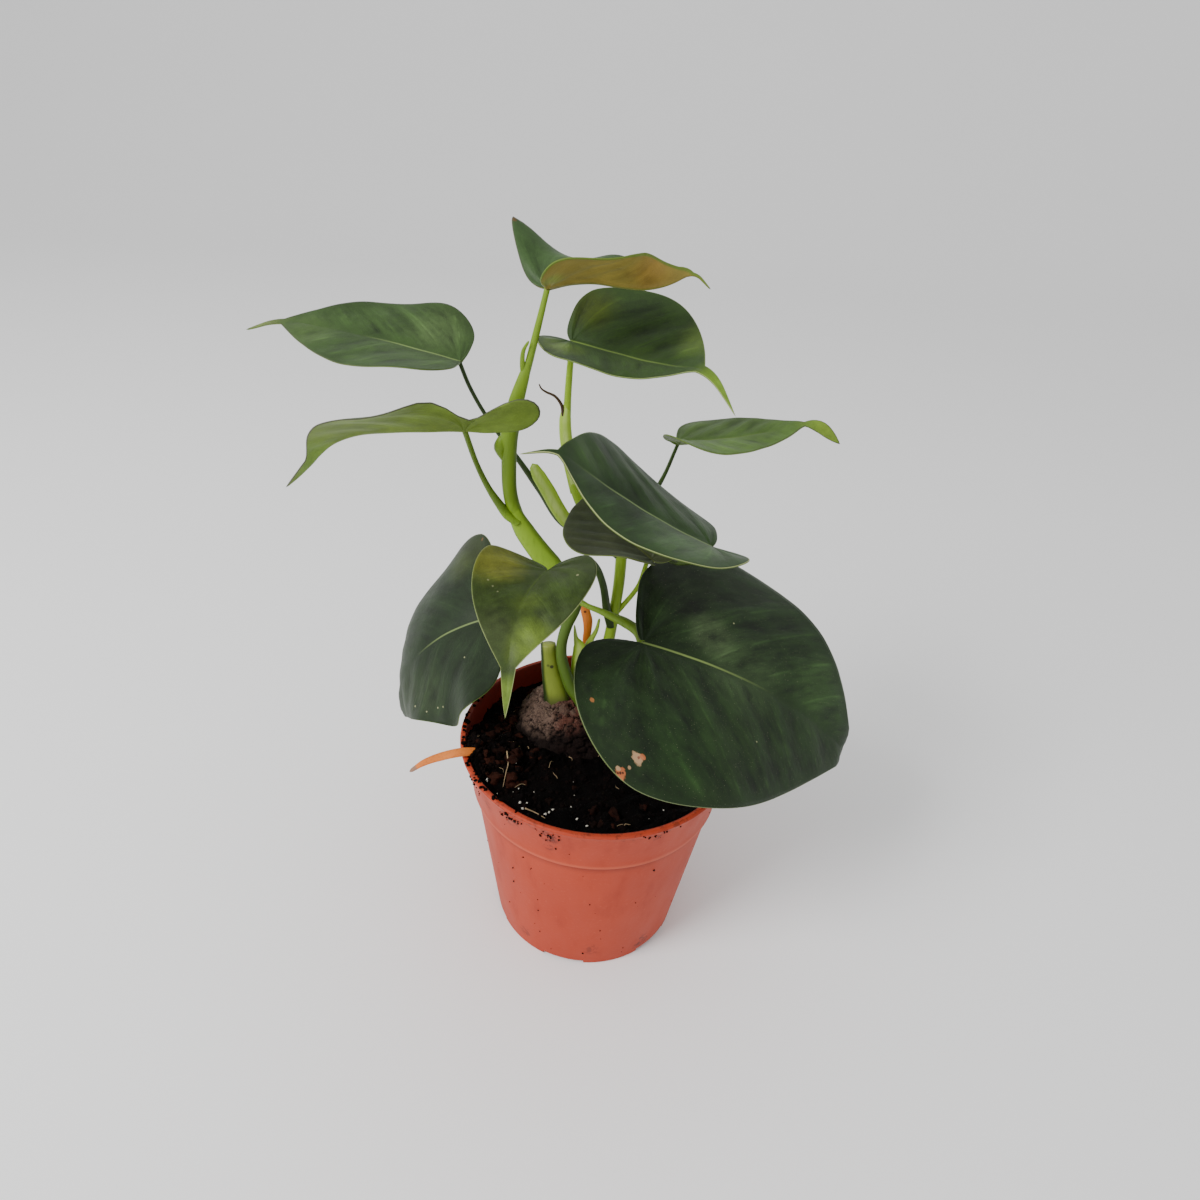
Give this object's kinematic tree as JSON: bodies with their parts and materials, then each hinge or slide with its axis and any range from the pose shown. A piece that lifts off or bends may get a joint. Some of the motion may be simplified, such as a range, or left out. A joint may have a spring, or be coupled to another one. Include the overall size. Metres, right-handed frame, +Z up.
{
  "type": "potted philodendron lupinum",
  "caption": "Young climbing aroid house plant with velvety heart-shaped leaves on slim green stalks, rooted in dark soil in a round tapered terracotta-coloured nursery pot.",
  "frame": {"origin": "centre of the pot's foot, on the surface that the pot stands on", "axes": "+Z up along the pot's axis, -Y towards the front of the plant, +X to the right seen from the front"},
  "size_m": [0.2529, 0.16, 0.3032],
  "materials": {
    "pot_plastic": "matte moulded plastic, terracotta-coloured, with a little soil on it",
    "potting_soil": "rough damp near-black potting mix with white perlite",
    "peat_plug": "rough wrinkled grey-brown peat",
    "green_stem": "smooth satin light green plant stem",
    "pale_stem": "smooth satin pale green stump of an old stalk, darker at its left edge",
    "dry_sheath": "dry papery orange-brown dead sheath",
    "young_shoot": "smooth lime green young shoot",
    "dark_leaf": "velvety deep green leaf with a thin pale margin",
    "pale_leaf": "velvety lighter olive green leaf",
    "copper_leaf": "velvety dark green leaf with a copper underside"
  },
  "bodies": {
    "root": {"pot": "pot_plastic", "soil": "potting_soil", "root_plug": "peat_plug", "stem_left": "green_stem", "stem_right": "green_stem", "cut_stump": "pale_stem", "dry_cataphyll": "dry_sheath", "green_shoot": "young_shoot", "dry_strip": "dry_sheath", "leaf_1": "copper_leaf", "leaf_2": "dark_leaf", "leaf_3": "dark_leaf", "leaf_4": "pale_leaf", "leaf_5": "pale_leaf", "leaf_6": "dark_leaf", "leaf_7": "copper_leaf", "leaf_8": "dark_leaf", "leaf_9": "dark_leaf", "leaf_10": "dark_leaf"}
  },
  "joints": []
}
